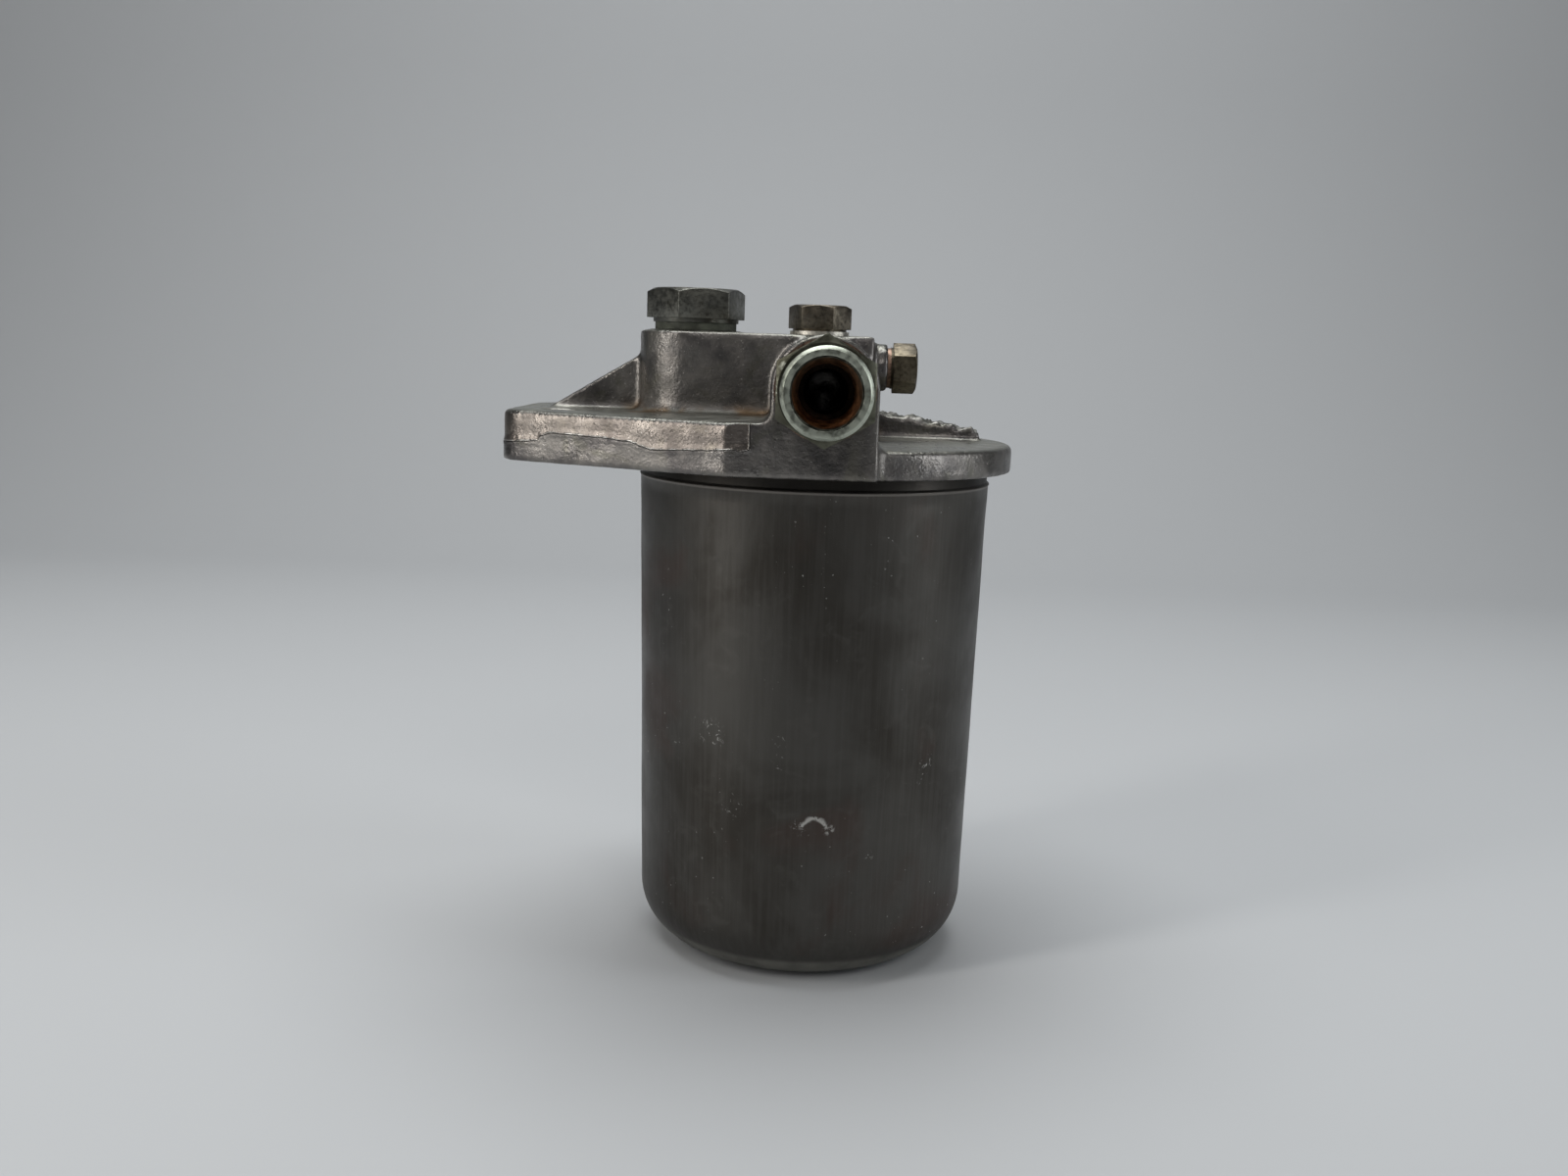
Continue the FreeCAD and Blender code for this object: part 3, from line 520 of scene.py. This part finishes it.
def drawn_steel():
    look = Finish("drawn_steel")
    patches = look.ramp(look.clouds(38, 4, distortion=0.8), 0.32, 0.66)
    body = look.mix(patches, (0.052, 0.047, 0.041), (0.086, 0.082, 0.075))
    reddish = look.ramp(look.clouds(26, 3, distortion=0.5), 0.52, 0.72)
    body = look.mix(look.combine(reddish, 0.45), body, (0.078, 0.048, 0.040))
    drawn = look.ramp(look.clouds(1.1, 3, stretch=(1, 1, 28)), 0.40, 0.66)
    body = look.mix(look.combine(drawn, 0.15), body, (0.125, 0.12, 0.112))
    rubbed = look.ramp(look.clouds(7, 5, distortion=1.2), 0.54, 0.8)
    body = look.mix(look.combine(rubbed, 0.3), body, (0.125, 0.12, 0.11))
    height = look.add("SeparateXYZ")
    look.link(look.stretched((1, 1, 1)), height.inputs[0])
    # painted reflection: a lighter band low on the cup's round corner, where it mirrors the pale floor
    floor_reflection_band = look.combine(look.ramp(height.outputs["Z"], 5.5, 7.5, 1, 0),
                            look.ramp(height.outputs["Z"], 1.2, 2.6))
    floor_reflection_band = look.combine(floor_reflection_band, look.ramp(look.clouds(9, 4), 0.30, 0.6, 0.35, 1))
    body = look.mix(look.combine(floor_reflection_band, 0.8), body, (0.27, 0.265, 0.235))
    level = height.outputs["Z"]
    step = band_level / mm
    # painted shadow: the sized band up under the head's flange is darkened
    body = look.mix(look.ramp(level, step - 0.2, step + 0.2, 0, 0.7), body, (0.020, 0.018, 0.016))
    # painted highlight: a lighter line along the rolled bead, where it catches the light
    bead = look.combine(look.ramp(level, step - 1.2, step - 0.9),
                        look.ramp(level, step - 0.5, step - 0.2, 1, 0))
    body = look.mix(look.combine(bead, 0.5), body, (0.24, 0.22, 0.20))
    marks = scuffs(look)
    body = look.mix(look.combine(marks, 0.85), body, (0.58, 0.57, 0.54))
    specks = look.ramp(look.clouds(1.0, 1), 0.755, 0.80)
    specks = look.combine(specks, look.ramp(look.clouds(24, 2), 0.45, 0.65))
    look.colour(look.mix(look.combine(specks, 0.7), body, (0.50, 0.49, 0.46)))
    satin = look.ramp(look.clouds(14, 5), 0.3, 0.7, 0.40, 0.54)
    look.roughness(look.combine(satin, look.combine(marks, 0.15), "ADD"))
    look.bump(look.clouds(0.7, 3, stretch=(1, 1, 22)), 0.020)
    look.bump(look.clouds(0.6, 4), 0.016)
    look.bump(look.clouds(9, 3), 0.10)
    return look.material


bowl.data.materials.append(drawn_steel())
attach(bowl, "bowl")
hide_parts("filter_bowl")


# ---------------------------------------------------------------- anchor nut and gasket
# The nut is turned steel, welded to the bowl's floor. The gasket is a flat ring of black nitrile rubber
# that lies in the head's groove and takes the bowl's rim.

def plain_steel(name, dark, light, rough=(0.32, 0.5)):
    look = Finish(name)
    body = look.mix(look.ramp(look.clouds(5, 4, distortion=0.5), 0.35, 0.68), dark, light)
    turned = look.ramp(look.clouds(0.5, 2, stretch=(6, 6, 1)), 0.4, 0.65)
    body = look.mix(look.combine(turned, 0.3), body, tuple(min(part * 1.5, 1) for part in light))
    dirt = look.ramp(look.clouds(2.2, 5), 0.56, 0.75)
    body = look.mix(look.combine(dirt, 0.55), body, tuple(part * 0.35 for part in dark))
    worn = look.combine(look.edges(0.52, 0.60), look.ramp(look.clouds(0.9, 3), 0.3, 0.6))
    look.colour(look.mix(look.combine(worn, 0.8), body, tuple(min(part * 2.2, 1) for part in light)))
    look.roughness(look.ramp(look.clouds(1.8, 4), 0.3, 0.7, *rough))
    look.bump(look.clouds(0.35, 3), 0.012)
    look.bump(look.clouds(1.6, 3), 0.035)
    return look.material


def rubber(name, colour):
    look = Finish(name, metallic=0.0, specular=0.35)
    patches = look.ramp(look.clouds(4, 4), 0.35, 0.7)
    body = look.mix(patches, colour, tuple(part * 2.2 for part in colour))
    dust = look.ramp(look.clouds(1.1, 5), 0.55, 0.75)
    look.colour(look.mix(look.combine(dust, 0.3), body, (0.16, 0.15, 0.13)))
    look.roughness(look.ramp(look.clouds(2.5, 3), 0.3, 0.7, 0.55, 0.8))
    look.bump(look.clouds(0.4, 4), 0.03)
    return look.material


def dress(node, material):
    """Gives a CAD node its finish."""
    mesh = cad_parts[node].data
    mesh.materials.clear()
    mesh.materials.append(material)


dress("bowl_anchor_nut", plain_steel("nut_steel", (0.24, 0.23, 0.22), (0.42, 0.41, 0.39)))
nitrile = rubber("nitrile_rubber", (0.018, 0.018, 0.019))
dress("bowl_gasket", nitrile)


# ---------------------------------------------------------------- unions
# Zinc-plated steel unions screwed in against copper washers: a bevelled hexagon, a neck, a 1.5 mm
# thread for the pipe nut and a coned mouth for the pipe, rusty inside on the open inlet.

def softened(shape, width, least_angle=25):
    """Rounds off a shape's sharp edges by a small width, in two steps."""
    bmesh.ops.dissolve_limit(shape, angle_limit=math.radians(0.6), verts=shape.verts, edges=shape.edges)
    sharp = [edge for edge in shape.edges if len(edge.link_faces) == 2
             and edge.calc_face_angle() > math.radians(least_angle)]
    bmesh.ops.bevel(shape, geom=sharp, offset=width, affect="EDGES", segments=2, profile=0.5, material=-1,
                    clamp_overlap=True)
    return shape


def cut_rings(shape, axis, low, high, spacing):
    """Cuts the shape across its axis into rings between two places."""
    count = round((high - low) / spacing)
    for index in range(count + 1):
        place = Vector(axis) * (low + (high - low) * index / count)
        geometry = shape.verts[:] + shape.edges[:] + shape.faces[:]
        bmesh.ops.bisect_plane(shape, geom=geometry, plane_co=place, plane_no=axis, dist=0.001 * mm)


def plated_steel(name, rust, way):
    look = Finish(name)
    body = look.mix(look.ramp(look.clouds(6, 4, distortion=0.7), 0.35, 0.66), (0.055, 0.054, 0.040),
                    (0.115, 0.115, 0.088))
    dull = look.ramp(look.clouds(2.4, 5), 0.5, 0.72)
    body = look.mix(look.combine(dull, 0.6), body, (0.040, 0.037, 0.026))
    worn = look.combine(look.edges(0.52, 0.60), look.ramp(look.clouds(0.9, 3), 0.3, 0.6))
    body = look.mix(look.combine(worn, 0.55), body, (0.36, 0.37, 0.32))
    offset = look.add("VectorMath", operation="SUBTRACT")
    look.link(look.stretched((1, 1, 1)), offset.inputs[0])
    offset.inputs[1].default_value = (port_x / mm, 0, port_z / mm)
    parts = look.add("SeparateXYZ")
    look.link(offset.outputs["Vector"], parts.inputs[0])
    squares = look.combine(look.combine(parts.outputs["X"], 2, "POWER"),
                           look.combine(parts.outputs["Z"], 2, "POWER"), "ADD")
    radius = look.combine(squares, 0.5, "POWER")
    depth = look.combine(parts.outputs["Y"], way)
    end_face = look.combine(look.ramp(depth, 70.4, 71.6), look.ramp(look.clouds(1.6, 4), 0.30, 0.55, 0.45, 1))
    body = look.mix(end_face, body, (0.42, 0.445, 0.375))
    bore = look.combine(look.ramp(radius, 7.2, 7.8, 1, 0), look.ramp(depth, 71.9, 70.4, 0, 1))
    below = look.ramp(parts.outputs["Z"], 3, -7, 0.55, 1)
    rusty = look.mix(look.ramp(look.clouds(2.2, 5), 0.35, 0.65), (0.085, 0.030, 0.012), (0.30, 0.13, 0.055))
    body = look.mix(look.combine(look.combine(bore, below), rust), body, rusty)
    # painted shade: the bore goes nearly black deep inside
    deep_bore_shade = look.combine(look.ramp(radius, 6.6, 7.0, 1, 0), look.ramp(depth, 66.5, 60, 0, 1))
    look.colour(look.mix(look.combine(deep_bore_shade, 0.9), body, (0.012, 0.010, 0.009)))
    rough = look.ramp(look.clouds(1.6, 4), 0.3, 0.7, 0.30, 0.48)
    look.roughness(look.combine(rough, look.combine(bore, 0.35 * rust), "ADD"))
    look.bump(look.clouds(0.5, 4), 0.02)
    look.bump(look.combine(look.clouds(1.4, 4), bore), 0.25 * rust)
    return look.material


thread_pitch = 1.5
thread_depth = 0.75
thread_start = 61.9
thread_finish = 71.6
for union, way, rust in (("inlet_union", -1, 1.0), ("outlet_union", 1, 0.35)):
    union_shape = softened(merged_copy(union), 0.12 * mm)
    bmesh.ops.triangulate(union_shape, faces=[face for face in union_shape.faces if len(face.verts) > 4])
    cut_rings(union_shape, (0, way, 0), thread_start * mm, thread_finish * mm, thread_pitch / 8 * mm)
    for vert in union_shape.verts:
        across, up, run = (vert.co.x - port_x) / mm, (vert.co.z - port_z) / mm, way * vert.co.y / mm
        radius = math.hypot(across, up)
        if radius > 9.5 and thread_start < run < thread_finish:
            turn = (run / thread_pitch + way * math.atan2(up, across) / (2 * math.pi)) % 1
            groove = between(1 - abs(2 * turn - 1), 0.15, 0.85)
            ends = between(run, thread_start, thread_start + 1.2) * between(thread_finish - run, 0, 0.8)
            cut = thread_depth * groove * ends / radius
            vert.co -= Vector((across, 0, up)) * cut * mm
    piece = piece_from(union_shape, union + "_threaded", smooth_below=32)
    piece.data.materials.append(plated_steel(union + "_plating", rust, way))
    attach(piece, "head")
    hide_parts(union)

copper = plain_steel("old_copper", (0.070, 0.048, 0.036), (0.150, 0.100, 0.075), (0.38, 0.6))
dress("inlet_union_washer", copper)
dress("outlet_union_washer", copper)


# ---------------------------------------------------------------- filler plug, centre bolt, bleed screw
# Hexagon-headed screws, each on its own washer. The plug and the bolt are dull grey steel gone brownish
# with age, and the small bleed screw is brass.

def old_steel(name, dark, light, tint):
    look = Finish(name)
    body = look.mix(look.ramp(look.clouds(4.5, 4, distortion=0.8), 0.35, 0.66), dark, light)
    brown = look.ramp(look.clouds(2.8, 5, distortion=0.6), 0.50, 0.72)
    body = look.mix(look.combine(brown, 0.5), body, tint)
    worn = look.combine(look.edges(0.515, 0.58), look.ramp(look.clouds(0.8, 3), 0.25, 0.6))
    body = look.mix(look.combine(worn, 0.8), body, tuple(min(part * 2.4, 0.9) for part in light))
    scratches = look.ramp(look.clouds(0.4, 2, stretch=(5, 5, 1)), 0.58, 0.70)
    look.colour(look.mix(look.combine(scratches, 0.3), body, tuple(min(part * 1.8, 0.9) for part in light)))
    look.roughness(look.ramp(look.clouds(1.7, 4), 0.3, 0.7, 0.28, 0.46))
    look.bump(look.clouds(0.4, 4), 0.02)
    look.bump(look.clouds(1.8, 3), 0.05)
    return look.material


# Each screw's body, slot, and its dark, light and stained colours.
screws = {
    "filler_plug": ("plug", "plug_steel",
                    ((0.068, 0.067, 0.058), (0.130, 0.129, 0.114), (0.055, 0.048, 0.030))),
    "centre_bolt": ("bolt", "bolt_steel",
                    ((0.070, 0.060, 0.045), (0.140, 0.123, 0.096), (0.070, 0.042, 0.020))),
    "bleed_screw": ("vent", "vent_brass",
                    ((0.052, 0.044, 0.031), (0.125, 0.106, 0.075), (0.045, 0.031, 0.016))),
}
for screw, (body, slot, colours) in screws.items():
    piece = piece_from(softened(merged_copy(screw), 0.14 * mm), screw + "_turned", smooth_below=32)
    piece.data.materials.append(old_steel(slot, *colours))
    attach(piece, body)
    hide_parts(screw)

dress("centre_bolt_washer", plain_steel("washer_alloy", (0.20, 0.19, 0.17), (0.36, 0.34, 0.30)))
dress("filler_plug_washer", rubber("plug_seal", (0.045, 0.048, 0.036)))
dress("bleed_screw_washer", copper)


# ---------------------------------------------------------------- filter element
# Pleated paper round a perforated tinplate core, between two pressed end caps. A rubber ring seals it
# against the head's spigot and another grips the centre bolt.

def tinplate():
    look = Finish("tinplate")
    body = look.mix(look.ramp(look.clouds(7, 3), 0.35, 0.68), (0.42, 0.42, 0.40), (0.60, 0.60, 0.58))
    film = look.ramp(look.clouds(11, 4, distortion=1), 0.5, 0.75)
    body = look.mix(look.combine(film, 0.5), body, (0.30, 0.24, 0.13))
    look.colour(body)
    look.roughness(look.ramp(look.clouds(3, 4), 0.3, 0.7, 0.24, 0.42))
    look.bump(look.clouds(2.5, 3), 0.04)
    return look.material


def filter_paper():
    look = Finish("filter_paper", metallic=0.0, specular=0.2)
    body = look.mix(look.ramp(look.clouds(16, 4, distortion=0.8), 0.35, 0.7), (0.50, 0.36, 0.16),
                    (0.64, 0.50, 0.27))
    fibres = look.ramp(look.clouds(0.35, 3, stretch=(1, 1, 4)), 0.4, 0.66)
    body = look.mix(look.combine(fibres, 0.3), body, (0.72, 0.60, 0.38))
    height = look.add("SeparateXYZ")
    look.link(look.stretched((1, 1, 1)), height.inputs[0])
    wavering = look.combine(height.outputs["Z"], look.combine(look.clouds(8, 3), 30), "ADD")
    soaked = look.ramp(wavering, 50, 90, 0.75, 0)
    look.colour(look.mix(soaked, body, (0.16, 0.11, 0.06)))
    look.roughness(look.ramp(look.clouds(4, 3), 0.3, 0.7, 0.75, 0.92))
    look.bump(look.clouds(0.3, 4), 0.03)
    return look.material


plated_tin = tinplate()
for node in ("element_top_cap", "element_bottom_cap", "element_core_tube", "spring_plate"):
    dress(node, plated_tin)
dress("element_paper", filter_paper())
dress("element_top_seal", nitrile)
dress("element_bolt_seal", nitrile)


# ---------------------------------------------------------------- element spring
# Round steel wire coiled four times. It stands on the bowl's floor and pushes the element up against
# the head.

spring_low, spring_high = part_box("element_spring")
wire_radius = 1.1 * mm
coil_radius = spring_high.x - wire_radius
coil_turns = 4
turn_steps = 48
coil_rise = spring_high.z - spring_low.z - 2 * wire_radius
spring_shape = bmesh.new()
ring = bmesh.ops.create_circle(spring_shape, cap_ends=False, radius=wire_radius, segments=14,
                               matrix=Matrix.Translation((coil_radius, 0, spring_low.z + wire_radius))
                               @ Matrix.Rotation(math.radians(90), 4, "X"))["verts"]
bmesh.ops.spin(spring_shape, geom=ring + spring_shape.edges[:], axis=(0, 0, 1), cent=(0, 0, 0),
               angle=2 * math.pi * coil_turns, steps=coil_turns * turn_steps,
               dvec=(0, 0, coil_rise / (coil_turns * turn_steps)))
bmesh.ops.holes_fill(spring_shape, edges=spring_shape.edges, sides=14)
bmesh.ops.recalc_face_normals(spring_shape, faces=spring_shape.faces)
spring = piece_from(spring_shape, "spring_coil", smooth_below=50)
spring.data.materials.append(plain_steel("spring_steel", (0.16, 0.155, 0.15), (0.32, 0.31, 0.30)))
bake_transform(spring)
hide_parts("element_spring")
